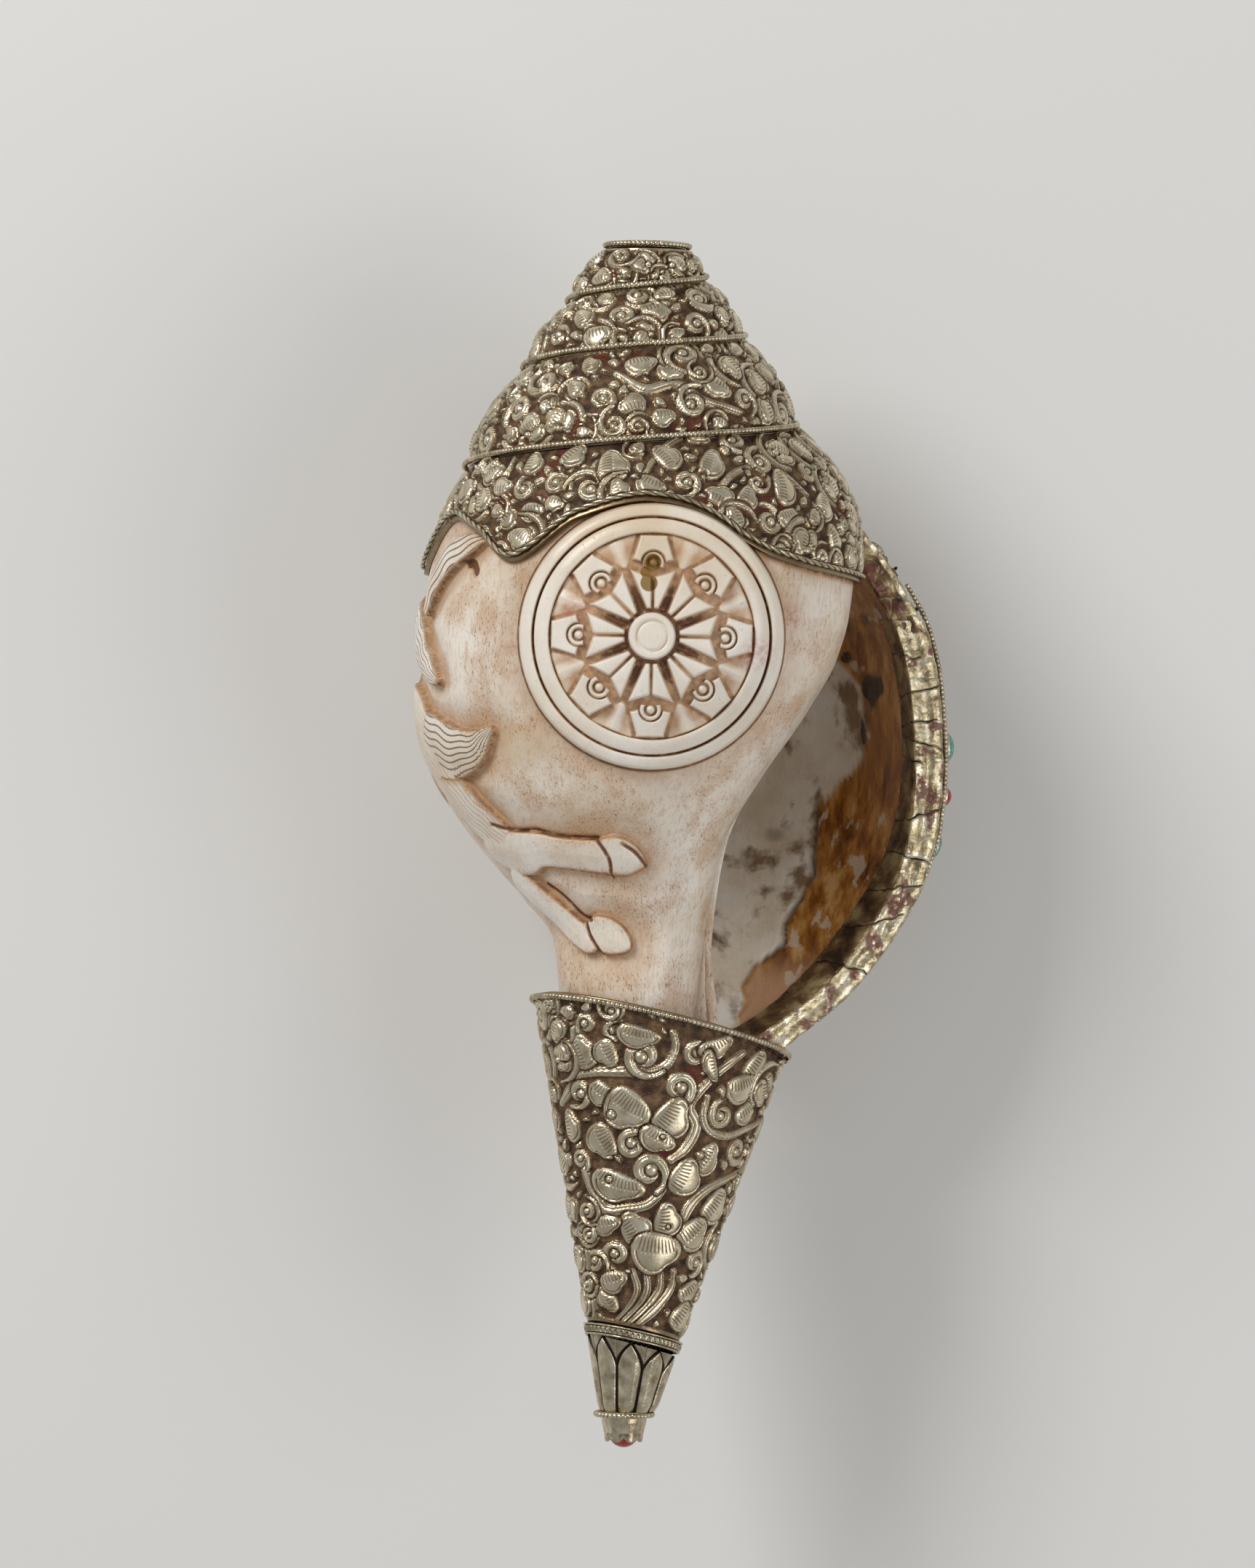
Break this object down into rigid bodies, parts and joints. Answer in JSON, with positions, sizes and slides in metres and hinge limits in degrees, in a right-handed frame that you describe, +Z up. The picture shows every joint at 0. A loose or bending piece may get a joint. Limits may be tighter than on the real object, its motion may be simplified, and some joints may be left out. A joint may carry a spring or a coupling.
{
  "type": "conch trumpet",
  "caption": "Carved chank shell blown as a ritual trumpet, with repousse silver mounts on its crown, lip and canal.",
  "frame": {"origin": "on the ground, under the centre of the box round the shell as it lies on its back", "axes": "+Y along the shell's axis towards the mouthpiece, +Z up out of the carved wheel, +X towards the outer lip"},
  "size_m": [0.1136, 0.2486, 0.1107],
  "materials": {
    "shell": "polished and carved chank shell, stained in its cuts",
    "silver": "tarnished repousse silver, worn bright on its high places",
    "lac": "dark red lac",
    "turquoise": "polished turquoise",
    "coral": "polished red coral"
  },
  "bodies": {
    "root": {"canal_lac_fill": "lac", "canal_sheath": "silver", "conch_shell": "shell", "coral_end_bead": "coral", "coral_middle": "coral", "lip_bead_wire": "silver", "lip_binding": "silver", "lip_gusset": "silver", "lip_wing": "silver", "lotus_ferrule": "silver", "milled_band": "silver", "mouthpiece": "silver", "mouthpiece_rim_wire": "silver", "setting_of_coral_middle": "silver", "setting_of_turquoise_lower": "silver", "setting_of_turquoise_upper": "silver", "sheath_rim_wire": "silver", "skirt_back": "silver", "skirt_front": "silver", "skirt_hem_wire": "silver", "spire_band_1": "silver", "spire_band_2": "silver", "spire_band_3": "silver", "spire_cap": "silver", "suture_wire": "silver", "tip_cup": "silver", "tip_wire": "silver", "turquoise_lower": "turquoise", "turquoise_upper": "turquoise", "wing_border_wire": "silver"}
  },
  "joints": []
}
